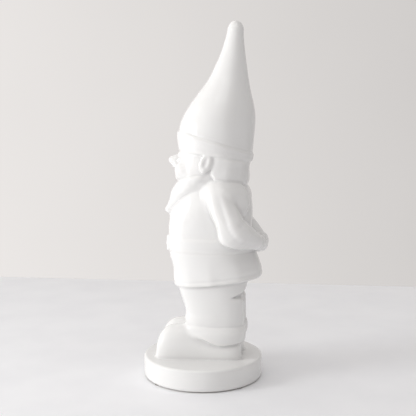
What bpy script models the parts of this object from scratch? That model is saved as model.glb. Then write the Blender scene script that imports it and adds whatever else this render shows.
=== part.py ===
"""A garden gnome of glazed ceramic on a round plinth, hands behind its back.

The gnome faces -Y, its left side is +X, and the plinth's underside is at z = 0.
Tables hold millimetres. Everything is turned into metres as it becomes a mesh.
"""

import math

import bmesh
import bpy
from mathutils import Matrix, Vector

MM = 0.001
GAP = 0.3                # clearance between faces that touch
SIDES = 30               # points round a body section
WALL = 5.0               # thickness of the cast wall
VENT = 1.3               # radius of the air hole between one hollow and the next

PLINTH_RADIUS = 68.0
PLINTH_TOP = 24.5
PLINTH_EDGE = 3.5        # round along the top edge
PLINTH_WALL = 6.0
PLINTH_SIDES = 64
FOOT_RING = 9.0          # width of the bare ring round the underside
FOOT_RISE = 0.5          # the underside is this much higher inside that ring
DRAIN_Y = 36.0           # the drain hole is this far behind the axis
PAD_RADIUS = 3.6
PAD_HEIGHT = 1.0
PAD_RING = 63.2          # the pads' centres are this far from the axis

LEG_X = 16.4             # centre of each leg and boot
CUFF_TOP = 60.0
BELT_LOW = 145.0
BELT_HIGH = 161.4
NECK = 217.0

# Tilted joints are planes z = height + slope * y.
HEM = (108.0, 0.124)
BAND_LOW = (252.7, -0.149)
BAND_HIGH = (271.8, -0.296)

# Upright bodies: height, front y, back y, half width.
LEG = (
    (36, -14.0, 47.5, 16.6), (50, -14.5, 48.4, 16.8), (62, -15.0, 48.6, 16.8),
    (77, -17.1, 48.3, 17.0), (92, -21.4, 48.2, 17.6), (105, -25.4, 50.0, 18.4),
    (118, -28.0, 53.0, 19.0),
)
CUFF = (
    (36, -13.5, 46.4, 16.4), (44, -14.2, 48.6, 17.4), (49, -15.4, 50.2, 18.2),
    (55, -15.8, 49.9, 18.2), (60, -15.2, 48.9, 17.2), (64, -15.0, 48.0, 16.4),
)
SKIRT = (
    (98, -25.0, 60.0, 34.0), (104, -29.4, 63.0, 36.6), (109, -32.6, 64.4, 38.0),
    (116, -33.4, 66.0, 38.6), (122, -33.3, 67.3, 38.6), (131, -35.2, 65.2, 38.2),
    (139, -37.3, 62.2, 37.6), (146, -38.4, 59.2, 37.2),
)
BELT = (
    (144, -38.6, 58.4, 38.0), (146.5, -39.6, 59.4, 38.8), (153, -39.8, 59.4, 39.0),
    (160, -39.6, 59.0, 38.8), (163, -38.4, 58.0, 37.8),
)
JACKET = (
    (161, -38.4, 57.4, 37.4), (168, -38.9, 56.2, 37.8), (176, -38.5, 55.4, 38.0),
    (186, -35.8, 56.2, 38.0), (198, -29.6, 55.8, 36.4), (208, -22.0, 53.6, 33.0),
    (218, -14.0, 49.4, 27.0),
)
BEARD = (
    (184.5, -37.4, -28.0, 2.0), (188, -42.2, -18.0, 5.4), (191, -43.6, -10.0, 8.2),
    (196, -40.4, -2.0, 14.0), (203, -37.8, 14.0, 22.6), (212, -35.6, 24.0, 29.6),
    (220, -30.2, 32.0, 34.0), (228, -27.4, 35.0, 35.6),
)
HEAD = (
    (214, -24.0, 44.0, 29.0), (221, -28.6, 46.0, 33.0), (229, -30.4, 47.4, 35.2),
    (236, -29.6, 48.4, 36.2), (247, -26.4, 50.0, 37.0), (262, -25.6, 52.0, 37.4),
)
HAIR = (
    (218, -10.0, 48.8, 35.0), (223, -12.0, 51.4, 37.8), (231, -12.0, 52.8, 39.0),
    (238, -12.0, 52.0, 39.2), (246, -12.0, 53.4, 39.6), (256, -12.0, 54.6, 39.8),
)
BAND = (
    (238, -24.4, 53.0, 39.2), (246, -25.0, 55.4, 40.4), (252, -25.4, 56.4, 41.0),
    (258, -26.2, 56.6, 41.4), (265, -28.0, 56.8, 41.9), (273, -28.6, 57.2, 42.1),
    (282, -26.8, 57.8, 41.6),
)
HAT = (
    (248, -24.0, 54.4, 39.6), (258, -25.0, 55.9, 40.4), (272, -26.4, 57.3, 41.4),
    (284, -26.2, 58.4, 41.8), (296, -21.8, 58.6, 39.8), (308, -14.5, 57.0, 35.6),
    (320, -5.6, 54.1, 29.8), (335, 5.6, 51.2, 22.8), (350, 13.4, 49.0, 17.8),
    (365, 20.0, 47.0, 13.5), (380, 24.9, 45.5, 10.3), (392, 27.6, 44.5, 8.4),
    (397.5, 30.2, 42.0, 5.9), (400, 34.4, 38.2, 1.9),
)

# A boot: y, half width, height of its top. Its sole is on the plinth.
BOOT = (
    (-52.0, 3.2, 32.0), (-51.2, 8.6, 42.0), (-47.8, 12.6, 50.2), (-42.3, 15.0, 56.3),
    (-36.0, 16.0, 60.6), (-28.0, 16.0, 62.0), (-20.0, 15.6, 61.4), (-12.0, 15.2, 56.0),
    (-2.0, 15.0, 49.6), (10.0, 15.0, 45.0), (26.0, 14.8, 44.6), (38.0, 13.8, 44.6),
    (44.0, 10.6, 44.0), (46.2, 5.6, 42.0),
)
# The nose: y, half width, underside, top.
NOSE = (
    (-21.0, 7.4, 235.4, 253.0), (-27.0, 7.2, 235.8, 252.6), (-31.0, 6.6, 237.4, 252.4),
    (-35.0, 5.4, 240.4, 251.4), (-37.8, 3.6, 243.4, 250.0), (-39.0, 1.0, 246.0, 247.8),
)
# A left sleeve's centre line from shoulder to wrist: x, y, z, radius.
SLEEVE = (
    (24.0, 18.0, 214.0, 9.0), (29.5, 20.0, 211.5, 14.0), (34.5, 22.4, 204.5, 15.4),
    (38.5, 27.0, 194.0, 15.6), (41.4, 31.4, 182.0, 16.0), (42.0, 36.4, 171.6, 16.4),
    (35.4, 48.4, 164.6, 14.6), (25.6, 57.4, 159.8, 11.8), (15.8, 63.0, 156.0, 10.0),
)
HAND = {"centre": (7.4, 63.6, 151.6), "size": (10.6, 10.2, 10.4)}
EAR = {"centre": (37.6, 5.6, 244.0), "size": (5.2, 7.0, 10.8), "lean": 20.0}
BUCKLE = {"width": 24.0, "height": 18.6, "depth": 4.6, "frame": 4.2, "front": -41.2}

GLAZE = {"color": (0.86, 0.85, 0.83), "roughness": 0.12}
FELT = {"color": (0.32, 0.31, 0.29), "roughness": 0.9}


def clear_scene():
    for obj in list(bpy.data.objects):
        bpy.data.objects.remove(obj, do_unlink=True)


def finish(name, look):
    material = bpy.data.materials.new(name)
    material.use_nodes = True
    shader = material.node_tree.nodes["Principled BSDF"]
    shader.inputs["Base Color"].default_value = (*look["color"], 1.0)
    shader.inputs["Roughness"].default_value = look["roughness"]
    shader.inputs["Metallic"].default_value = 0.0
    return material


def add_object(name, bm, look=GLAZE):
    """Scales a mesh drawn in millimetres to metres and links it as an object."""
    bmesh.ops.scale(bm, vec=(MM, MM, MM), verts=bm.verts)
    bmesh.ops.recalc_face_normals(bm, faces=bm.faces)
    mesh = bpy.data.meshes.new(name)
    bm.to_mesh(mesh)
    bm.free()
    mesh.shade_smooth()
    mesh.set_sharp_from_angle(angle=math.radians(40))
    obj = bpy.data.objects.new(name, mesh)
    obj.data.materials.append(finish(name + "_finish", look))
    bpy.context.scene.collection.objects.link(obj)
    return obj


def as_cutter(obj):
    obj.hide_render = True
    obj.display_type = "WIRE"
    return obj


def subtract(obj, *cutters):
    for cutter in cutters:
        cut = obj.modifiers.new("cut_" + cutter.name, "BOOLEAN")
        cut.operation = "DIFFERENCE"
        cut.solver = "EXACT"
        cut.object = cutter


def curve_value(table, column, at):
    """Reads a column of a table at a height, on a smooth curve through its rows."""
    last = len(table) - 1
    k = 0
    while k < last - 1 and at > table[k + 1][0]:
        k += 1
    before, start = table[max(k - 1, 0)], table[k]
    end, after = table[k + 1], table[min(k + 2, last)]
    span = end[0] - start[0]
    t = min(max((at - start[0]) / span, 0.0), 1.0)
    leave = (end[column] - before[column]) / (end[0] - before[0]) * span
    arrive = (after[column] - start[column]) / (after[0] - start[0]) * span
    return (
        (2 * t**3 - 3 * t**2 + 1) * start[column]
        + (t**3 - 2 * t**2 + t) * leave
        + (-2 * t**3 + 3 * t**2) * end[column]
        + (t**3 - t**2) * arrive
    )


def bridge(bm, rings):
    """Skins a row of rings and closes both ends."""
    sides = len(rings[0])
    for low, high in zip(rings, rings[1:]):
        for k in range(sides):
            after = (k + 1) % sides
            bm.faces.new((low[k], low[after], high[after], high[k]))
    bm.faces.new(list(reversed(rings[0])))
    bm.faces.new(rings[-1])


def cut_flat(bm, point, normal):
    """Removes what lies beyond a plane and closes the cut."""
    everything = bm.verts[:] + bm.edges[:] + bm.faces[:]
    bmesh.ops.bisect_plane(
        bm, geom=everything, dist=1e-4, plane_co=point, plane_no=normal, clear_outer=True
    )
    edge = [e for e in bm.edges if e.is_boundary]
    if edge:
        bmesh.ops.contextual_create(bm, geom=edge)


def cut_tilted(bm, plane, move, keep_above):
    """Cuts along the joint z = height + slope * y, moved by a clearance along its normal."""
    height, slope = plane
    normal = Vector((0.0, -slope, 1.0)).normalized()
    point = Vector((0.0, 0.0, height)) + normal * move
    cut_flat(bm, point, -normal if keep_above else normal)


def column(table, rows, grow=0.0, sides=SIDES, middle=0.0):
    """An upright body: oval sections read from its table between two heights."""
    bm = bmesh.new()
    low, high = table[0][0], table[-1][0]
    rings = []
    for n in range(rows + 1):
        z = low + (high - low) * n / rows
        front, back, half = (curve_value(table, c, z) for c in (1, 2, 3))
        centre, depth = (front + back) / 2, (back - front) / 2 + grow
        ring = []
        for k in range(sides):
            turn = 2 * math.pi * (k + 0.5) / sides
            x = middle + (half + grow) * math.cos(turn)
            ring.append(bm.verts.new((x, centre + depth * math.sin(turn), z)))
        rings.append(ring)
    bridge(bm, rings)
    return bm


def vent_hole(name, place):
    bm = bmesh.new()
    bmesh.ops.create_cone(
        bm, cap_ends=True, segments=8, radius1=VENT, radius2=VENT, depth=4 * WALL,
        matrix=Matrix.Translation(place),
    )
    return as_cutter(add_object(name, bm))


def hollow(obj, table, rows, low, high, vents, middle=0.0):
    """Casts a body with an even wall: low and high are joint planes, vents are points."""
    bm = column(table, rows, grow=-WALL, sides=20, middle=middle)
    cut_tilted(bm, low, WALL, True)
    cut_tilted(bm, high, -WALL, False)
    cavity = as_cutter(add_object(obj.name + "_cavity", bm))
    holes = [vent_hole(f"{obj.name}_vent_{n}", place) for n, place in enumerate(vents)]
    subtract(obj, cavity, *holes)


def flat(height):
    return (height, 0.0)


def turned(section):
    """Spins a section of (radius, height) points round the plinth's axis."""
    bm = bmesh.new()
    verts = [bm.verts.new((r, 0.0, z)) for r, z in section]
    edges = [bm.edges.new(pair) for pair in zip(verts, verts[1:])]
    bmesh.ops.spin(
        bm, geom=verts + edges, cent=(0, 0, 0), axis=(0, 0, 1), angle=2 * math.pi,
        steps=PLINTH_SIDES, use_merge=True,
    )
    bmesh.ops.remove_doubles(bm, verts=bm.verts, dist=1e-3)
    return bm


def build_plinth():
    """A hollow disc with a rounded top edge, a bare foot ring and a drain hole."""
    low = PAD_HEIGHT + GAP
    edge = PLINTH_EDGE
    ring = PLINTH_RADIUS - FOOT_RING
    section = [(0.0, low + FOOT_RISE), (ring - 1, low + FOOT_RISE), (ring, low)]
    section += [(PLINTH_RADIUS - 1, low), (PLINTH_RADIUS, low + 1)]
    for n in range(6):
        turn = math.pi / 2 * n / 5
        section.append(
            (
                PLINTH_RADIUS - edge + edge * math.cos(turn),
                PLINTH_TOP - edge + edge * math.sin(turn),
            )
        )
    section.append((0.0, PLINTH_TOP))
    plinth = add_object("plinth", turned(section))

    inner = PLINTH_RADIUS - PLINTH_WALL
    floor, roof = low + PLINTH_WALL, PLINTH_TOP - PLINTH_WALL
    chamber = [(0.0, floor), (inner - 2, floor), (inner, floor + 2), (inner, roof - 2)]
    chamber += [(inner - 2, roof), (0.0, roof)]
    room = as_cutter(add_object("plinth_chamber", turned(chamber)))
    subtract(plinth, room, vent_hole("plinth_drain", (0.0, DRAIN_Y, low)))


def build_pads():
    for n in range(4):
        bm = bmesh.new()
        turn = math.pi / 4 + math.pi / 2 * n
        place = (PAD_RING * math.cos(turn), PAD_RING * math.sin(turn), PAD_HEIGHT / 2)
        bmesh.ops.create_cone(
            bm, cap_ends=True, segments=16, radius1=PAD_RADIUS, radius2=PAD_RADIUS,
            depth=PAD_HEIGHT, matrix=Matrix.Translation(place),
        )
        add_object(f"foot_pad_{n + 1}", bm, FELT)


def boot_mesh(side, grow=0.0):
    """Sections across the boot, flat underneath and rounded over the top."""
    bm = bmesh.new()
    sole = PLINTH_TOP + GAP - grow
    rings = []
    for n, (y, half, top) in enumerate(BOOT):
        half += grow
        height = top + grow - sole
        middle = sole + 0.42 * height
        if grow and n in (0, len(BOOT) - 1):
            y += math.copysign(grow, y)
        ring = []
        for k in range(20):
            turn = 2 * math.pi * (k + 0.5) / 20
            x = half * math.copysign(abs(math.cos(turn)) ** 0.8, math.cos(turn))
            reach = 0.58 * height if math.sin(turn) > 0 else 0.62 * height
            z = middle + reach * math.copysign(abs(math.sin(turn)) ** 0.85, math.sin(turn))
            ring.append(bm.verts.new((side * LEG_X + x, y, max(z, sole))))
        rings.append(ring)
    bridge(bm, rings)
    cut_flat(bm, (side * GAP / 2, 0, 0), (-side, 0, 0))
    return bm


def half_of(bm, side):
    """Keeps one side of the gap between the left and right pieces."""
    cut_flat(bm, (side * GAP / 2, 0, 0), (-side, 0, 0))
    return bm


def build_leg(side, word, boot_cutter):
    bm = half_of(column(CUFF, 8, sides=26, middle=side * LEG_X), side)
    cut_tilted(bm, flat(CUFF_TOP), 0.0, False)
    cuff = add_object("trouser_cuff_" + word, bm)
    subtract(cuff, boot_cutter)

    bm = half_of(column(LEG, 10, sides=26, middle=side * LEG_X), side)
    cut_tilted(bm, flat(CUFF_TOP), GAP, True)
    cut_tilted(bm, HEM, -GAP, False)
    leg = add_object("trouser_leg_" + word, bm)
    subtract(leg, boot_cutter)
    hollow(leg, LEG, 8, flat(64.0), HEM, [(side * LEG_X, 16.0, 106.0)], side * LEG_X)
    return cuff, leg


def build_boot(side, word):
    boot = add_object("boot_" + word, boot_mesh(side))
    return boot, as_cutter(add_object(f"boot_{word}_room", boot_mesh(side, GAP)))


def torso_mesh(table, rows, low, high, grow=0.0):
    bm = column(table, rows, grow)
    cut_tilted(bm, low, -grow, True)
    cut_tilted(bm, high, grow, False)
    return bm


def build_torso():
    """Skirt, belt and jacket stacked on each other, and their rooms for the arms."""
    skirt_top = flat(BELT_LOW - GAP)
    skirt = add_object("jacket_skirt", torso_mesh(SKIRT, 14, HEM, skirt_top))
    vents = [(0.0, 10.0, 106.0), (0.0, 10.0, BELT_LOW)]
    hollow(skirt, SKIRT, 8, HEM, skirt_top, vents)

    belt = add_object("belt", torso_mesh(BELT, 8, flat(BELT_LOW), flat(BELT_HIGH)))
    jacket_low = flat(BELT_HIGH + GAP)
    jacket = add_object("jacket_body", torso_mesh(JACKET, 14, jacket_low, flat(NECK)))
    hollow(jacket, JACKET, 8, jacket_low, flat(NECK), [(0.0, 14.0, NECK)])

    rooms = []
    for name, table, rows, low, high in (
        ("skirt_room", SKIRT, 14, HEM, skirt_top),
        ("belt_room", BELT, 8, flat(BELT_LOW), flat(BELT_HIGH)),
        ("jacket_room", JACKET, 14, jacket_low, flat(NECK)),
    ):
        rooms.append(as_cutter(add_object(name, torso_mesh(table, rows, low, high, GAP))))
    return rooms


def build_buckle(rooms):
    """A rounded rectangular frame with its prong, bent onto the front of the belt."""
    bm = bmesh.new()
    middle = (BELT_LOW + BELT_HIGH) / 2
    wide, tall = BUCKLE["width"], BUCKLE["height"]
    deep = BUCKLE["depth"]
    centre_y = BUCKLE["front"] + deep / 2
    bmesh.ops.create_cube(bm, size=1.0, matrix=Matrix.Diagonal((wide, deep, tall, 1)))
    upright = [e for e in bm.edges if abs(e.verts[0].co.y - e.verts[1].co.y) > deep / 2]
    bmesh.ops.bevel(bm, geom=upright, offset=4.0, segments=3, affect="EDGES", profile=0.5)
    bmesh.ops.translate(bm, verts=bm.verts, vec=(0, centre_y, middle))
    buckle = add_object("belt_buckle", bm)
    bm = bmesh.new()
    inner = (wide - 2 * BUCKLE["frame"], 1.6, tall - 2 * BUCKLE["frame"], 1)
    place = Matrix.Translation((0, BUCKLE["front"], middle))
    bmesh.ops.create_cube(bm, size=1.0, matrix=place @ Matrix.Diagonal(inner))
    subtract(buckle, as_cutter(add_object("buckle_window", bm)), *rooms)


def tube_mesh(path, grow=0.0, sides=20):
    """Round sections along a centre line, with one frame carried from end to end."""
    bm = bmesh.new()
    points = [Vector(p[:3]) for p in path]
    across = Vector((0.0, 1.0, 0.0))
    rings = []
    for n, point in enumerate(points):
        ahead = points[min(n + 1, len(points) - 1)] - points[max(n - 1, 0)]
        ahead.normalize()
        across = (across - ahead * across.dot(ahead)).normalized()
        other = ahead.cross(across)
        radius = path[n][3] + grow
        ring = []
        for k in range(sides):
            turn = 2 * math.pi * k / sides
            spoke = across * math.cos(turn) + other * math.sin(turn)
            ring.append(bm.verts.new(point + spoke * radius))
        rings.append(ring)
    bridge(bm, rings)
    return bm


def smooth_path(path, steps):
    """Adds points between those of a path, on a smooth curve through them."""
    numbered = [(n, *row) for n, row in enumerate(path)]
    count = (len(path) - 1) * steps
    found = []
    for n in range(count + 1):
        at = n / steps
        found.append(tuple(curve_value(numbered, c, at) for c in (1, 2, 3, 4)))
    return found


def mirrored(path, side):
    return [(side * x, y, z, r) for x, y, z, r in path]


def ellipsoid(centre, size, lean=0.0, segments=18, rings=12):
    bm = bmesh.new()
    place = Matrix.Translation(centre) @ Matrix.Rotation(math.radians(lean), 4, "X")
    bmesh.ops.create_uvsphere(
        bm, u_segments=segments, v_segments=rings, radius=1.0,
        matrix=place @ Matrix.Diagonal((*size, 1)),
    )
    return bm


def build_arm(side, word, rooms):
    path = mirrored(smooth_path(SLEEVE, 2), side)
    sleeve = add_object("sleeve_" + word, tube_mesh(path))
    subtract(sleeve, *rooms)
    sleeve_room = as_cutter(add_object(f"sleeve_{word}_room", tube_mesh(path, GAP)))
    x, y, z = HAND["centre"]
    bm = half_of(ellipsoid((side * x, y, z), HAND["size"]), side)
    hand = add_object("hand_" + word, bm)
    subtract(hand, sleeve_room, *rooms)
    return sleeve_room


def build_head(jacket_room, sleeve_rooms):
    """Head, hair, beard, nose and ears, below the band of the hat."""
    low = flat(NECK + GAP)
    head = add_object("head", torso_mesh(HEAD, 12, low, (BAND_LOW[0] - GAP, BAND_LOW[1])))
    hollow(head, HEAD, 8, low, BAND_LOW, [(0.0, 14.0, NECK), (0.0, 14.0, 250.0)])
    subtract(head, *sleeve_rooms)
    bm = torso_mesh(HEAD, 12, low, BAND_LOW, GAP)
    head_room = as_cutter(add_object("head_room", bm))

    def hair_mesh(grow):
        bm = torso_mesh(HAIR, 10, flat(NECK + 2.0), (BAND_LOW[0] - GAP, BAND_LOW[1]), grow)
        cut_flat(bm, (0, 9.0 - grow, 0), (0, -1, 0))
        return bm

    hair = add_object("hair", hair_mesh(0.0))
    subtract(hair, head_room, *sleeve_rooms)
    hair_room = as_cutter(add_object("hair_room", hair_mesh(GAP)))

    bm = column(BEARD, 12)
    cut_tilted(bm, (227.0, 0.1), 0.0, False)
    cut_flat(bm, (0, 4.5, 0), (0, 1, 0))
    beard = add_object("beard", bm)
    subtract(beard, head_room, jacket_room, *sleeve_rooms)

    bm = bmesh.new()
    rings = []
    for y, half, bottom, top in NOSE:
        middle, tall = (bottom + top) / 2, (top - bottom) / 2
        ring = []
        for k in range(16):
            turn = 2 * math.pi * (k + 0.5) / 16
            ring.append(
                bm.verts.new((half * math.cos(turn), y, middle + tall * math.sin(turn)))
            )
        rings.append(ring)
    bridge(bm, rings)
    subtract(add_object("nose", bm), head_room)

    for side, word in ((1, "left"), (-1, "right")):
        x, y, z = EAR["centre"]
        bm = ellipsoid((side * x, y, z), EAR["size"], -EAR["lean"])
        cut_tilted(bm, BAND_LOW, -2 * GAP, False)
        ear = add_object("ear_" + word, bm)
        subtract(ear, head_room, hair_room)


def build_hat():
    band_top = (BAND_HIGH[0] - GAP, BAND_HIGH[1])
    band = add_object("hat_band", torso_mesh(BAND, 14, BAND_LOW, band_top))
    hollow(band, BAND, 8, BAND_LOW, band_top, [(0.0, 14.0, 250.0), (0.0, 14.0, 268.0)])
    bm = column(HAT, 26, sides=32)
    cut_tilted(bm, BAND_HIGH, 0.0, True)
    hat = add_object("hat", bm)
    hollow(hat, HAT[:-2], 14, BAND_HIGH, flat(392.0), [(0.0, 14.0, 268.0)])


clear_scene()
build_plinth()
build_pads()
torso_rooms = build_torso()
build_buckle(torso_rooms)
sleeve_rooms = []
for side, word in ((1, "left"), (-1, "right")):
    boot, boot_room = build_boot(side, word)
    build_leg(side, word, boot_room)
    sleeve_rooms.append(build_arm(side, word, torso_rooms))
build_head(torso_rooms[2], sleeve_rooms)
build_hat()
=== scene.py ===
import math
import bpy
import numpy as np
import openvdb
from mathutils import Matrix, Vector


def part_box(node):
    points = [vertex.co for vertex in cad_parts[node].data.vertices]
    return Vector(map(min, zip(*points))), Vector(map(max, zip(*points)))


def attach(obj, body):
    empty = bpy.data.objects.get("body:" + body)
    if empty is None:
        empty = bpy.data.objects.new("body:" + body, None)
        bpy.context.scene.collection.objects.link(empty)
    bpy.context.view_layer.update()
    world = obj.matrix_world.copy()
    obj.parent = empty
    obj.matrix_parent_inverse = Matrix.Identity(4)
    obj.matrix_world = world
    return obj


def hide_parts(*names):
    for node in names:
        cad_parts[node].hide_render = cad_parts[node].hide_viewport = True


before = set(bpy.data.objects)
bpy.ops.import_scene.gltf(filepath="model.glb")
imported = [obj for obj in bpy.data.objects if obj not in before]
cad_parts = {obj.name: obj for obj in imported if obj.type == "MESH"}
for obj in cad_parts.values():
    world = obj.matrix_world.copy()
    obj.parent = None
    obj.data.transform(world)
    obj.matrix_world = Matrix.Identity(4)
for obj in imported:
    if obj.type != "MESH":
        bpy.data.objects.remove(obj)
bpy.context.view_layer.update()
mm = 0.001

# The figure is worked as one clay model in millimetres: each member is a distance field on a grid,
# the members are run together with soft joints as slip and glaze leave them, and the skin is then
# parted into the pieces again, each a closed shell of the cast wall.
clay = {
    # Pitch of the grid and its two corners
    "step": 0.85,
    "low": (-64.0, -62.0, 19.0),
    "high": (64.0, 84.0, 407.0),
    # Distance given to empty space, and the smallest and largest slope that is evened out
    "far": 30.0,
    "slopes": (0.45, 4.0),
    # The cast wall, and how clear of every skin its inner side stays, as a share of its depth
    "wall": 4.0,
    "clear": 0.82,
    # Radius of the blur, reach of the fillet on the plinth and how far below its top it is laid
    "soften": 0.9,
    "fillet": 5.5,
    "filletDrop": 0.6,
    # How far the outer and the inner skin reach below the top of the plinth
    "sunk": 0.35,
    "innerSunk": 0.8,
    # A patch below this share of its member's largest one goes to the neighbour
    "stray": 0.03,
    # How strongly creases are painted darker, as painted shade and pooled glaze, and edges paler
    "shadeAndPooling": 3.0,
}


def nodeTop(node):
    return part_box(node)[1].z / mm


def nodeLow(node):
    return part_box(node)[0].z / mm


place = {
    "plinthTop": nodeTop("plinth"),
    "beltLow": nodeLow("belt"),
    "beltHigh": nodeTop("belt"),
    "hatTop": nodeTop("hat"),
    "legX": (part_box("boot_left")[0].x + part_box("boot_left")[1].x) / 2 / mm,
    "neck": nodeLow("head"),
}
# Sloping joints: height on the axis, and rise for each millimetre towards the back
hem = (108.0, 0.124)
bandLow = (252.7, -0.149)
bandHigh = (271.8, -0.296)

gridAxes = [
    np.arange(low, high + clay["step"], clay["step"], dtype=np.float32)
    for low, high in zip(clay["low"], clay["high"])
]
gridShape = tuple(len(a) for a in gridAxes)


def block(low, high):
    # The slices of the grid round a box, and its x, y and z there.
    parts = []
    for axis, a, b in zip(gridAxes, low, high):
        first = max(int(np.searchsorted(axis, a)) - 1, 0)
        last = min(int(np.searchsorted(axis, b)) + 1, len(axis))
        parts.append(slice(first, last))
    x = gridAxes[0][parts[0]][:, None, None]
    y = gridAxes[1][parts[1]][None, :, None]
    z = gridAxes[2][parts[2]][None, None, :]
    return tuple(parts), x, y, z


def even(field):
    # Divides by the slope, so that the field reads as millimetres near its surface.
    slope = np.sqrt(sum(g * g for g in np.gradient(field, clay["step"])))
    return field / np.clip(slope, *clay["slopes"])


def join(a, b, soft):
    h = np.maximum(soft - np.abs(a - b), 0.0) / soft
    return np.minimum(a, b) - h * h * soft / 4


def meet(a, b, soft):
    return -join(-a, -b, soft)


def carve(a, b, soft):
    return meet(a, -b, soft)


def bump(value, middle, width):
    return np.exp(-(((value - middle) / width) ** 2))


def ramped(value, middle, width):
    # Rises softly from 0 to 1 round the middle, or falls where the width is negative.
    return 1.0 / (1.0 + np.exp((middle - value) / width))


def beside(gap, spread):
    # Fades from 1 on a rod to 0 away from it.
    return np.exp(-np.maximum(gap, 0) ** 2 / spread)


def along(table, column, at):
    # A smooth curve through one column of a table whose first column rises.
    keys = np.array([row[0] for row in table], float)
    values = np.array([row[column] for row in table], float)
    slopes = np.gradient(values, keys)
    k = np.clip(np.searchsorted(keys, at) - 1, 0, len(keys) - 2)
    span = keys[k + 1] - keys[k]
    t = np.clip((at - keys[k]) / span, 0.0, 1.0)
    a, b = values[k], values[k + 1]
    m, n = slopes[k] * span, slopes[k + 1] * span
    t2, t3 = t * t, t * t * t
    out = (2 * t3 - 3 * t2 + 1) * a + (t3 - 2 * t2 + t) * m + (3 * t2 - 2 * t3) * b + (t3 - t2) * n
    return out.astype(np.float32)


def plane(y, z, joint):
    # Height above a joint that slopes from front to back.
    height, slope = joint
    return (z - height - slope * y) / math.sqrt(1 + slope * slope)


def oval(table, x, y, z, middle=0.0, power=2.0):
    # Upright body: height, front y, back y and half width, with oval sections.
    front, back, half = (along(table, c, z) for c in (1, 2, 3))
    centre, depth = (front + back) / 2, (back - front) / 2
    half = np.maximum(half, 0.3)
    depth = np.maximum(depth, 0.3)
    u, v = np.abs((x - middle) / half), np.abs((y - centre) / depth)
    if power == 2.0:
        ratio = np.sqrt(u * u + v * v)
    else:
        ratio = (u**power + v**power) ** (1.0 / power)
    return even((ratio - 1.0) * np.minimum(half, depth))


def ball(x, y, z, centre, size, turn=(0.0, 0.0, 0.0)):
    # An ellipsoid turned by degrees about X, Y and Z.
    spin = Matrix.Identity(3)
    for angle, axis in zip(turn, "XYZ"):
        spin = Matrix.Rotation(math.radians(angle), 3, axis) @ spin
    local = spin.transposed()
    p = (x - centre[0], y - centre[1], z - centre[2])
    near = sum((sum(local[r][c] * p[c] for c in range(3)) / size[r]) ** 2 for r in range(3))
    far = sum((sum(local[r][c] * p[c] for c in range(3)) / size[r] ** 2) ** 2 for r in range(3))
    k = np.sqrt(near)
    return k * (k - 1.0) / np.maximum(np.sqrt(far), 1e-6)


def rod(x, y, z, points, radius):
    # A round rod through points. The radius is one number or one for each point.
    if not hasattr(radius, "__len__"):
        radius = [radius] * len(points)
    found = None
    for a, b, ra, rb in zip(points, points[1:], radius, radius[1:]):
        d = [q - p for p, q in zip(a, b)]
        length = sum(v * v for v in d)
        t = ((x - a[0]) * d[0] + (y - a[1]) * d[1] + (z - a[2]) * d[2]) / length
        t = np.clip(t, 0.0, 1.0)
        gap = np.sqrt(
            (x - a[0] - t * d[0]) ** 2 + (y - a[1] - t * d[1]) ** 2 + (z - a[2] - t * d[2]) ** 2
        )
        gap = gap - ra - t * (rb - ra)
        found = gap if found is None else np.minimum(found, gap)
    return found


members = {}


def keep(name, where, field, soft):
    # Notes a member: its block of the grid, its distance there and how softly it joins.
    full = np.broadcast_to(field, tuple(s.stop - s.start for s in where))
    members[name] = {"where": where, "field": full.astype(np.float32), "soft": soft}


def sides():
    return (("left", 1), ("right", -1))


boot = {
    # y, half width, top
    "rows": (
        (-51.8, 8.0, 34.0), (-50.6, 10.0, 41.0), (-48.0, 12.4, 47.8), (-43.4, 14.8, 54.6),
        (-37.4, 16.2, 59.2), (-29.6, 16.6, 61.2), (-20.0, 16.2, 61.8), (-10.0, 15.6, 59.0),
        (2.0, 14.8, 53.0), (12.0, 14.4, 49.0), (26.0, 14.0, 46.6), (34.0, 13.0, 46.0),
        (40.0, 11.0, 45.4), (43.6, 8.8, 44.0), (45.6, 6.6, 42.0),
    ),
}


def makeBoots():
    floor = place["plinthTop"]
    for word, side in sides():
        middle = side * place["legX"]
        where, x, y, z = block((middle - 34, -60, 18), (middle + 34, 54, 70))
        half, top = along(boot["rows"], 1, y), along(boot["rows"], 2, y)
        height = top - floor
        centre = floor + 0.42 * height
        reach = np.where(z > centre, 0.58 * height, 0.60 * height)
        u, v = np.abs((x - middle) / half), np.abs((z - centre) / reach)
        ratio = (u**2.15 + v**2.15) ** (1 / 2.15)
        field = even((ratio - 1.0) * np.minimum(half, reach))
        field = meet(field, np.maximum(y - 45.4, -51.6 - y), 5.0)
        if side > 0:
            # A web of clay fills the valley between the two boots.
            web = rod(x, y, z, ((0, -27, 50), (0, -18, 52.5), (0, -4, 50.5)), (2.5, 5.0, 5.5))
            field = join(field, web, 9.0)
        # The upper swells a little above the sole and heel.
        field = field - 0.7 * bump(z, floor + 3.0, 2.6) * np.clip(1.0 - field / 4, 0, 1)
        # The instep runs softly into the trouser, and the two boots into each other.
        ahead = ramped(y, 14.0, -4.0)
        keep("boot_" + word, where, field, 1.2 + (6.0 if side < 0 else 5.0) * ahead)


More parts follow.
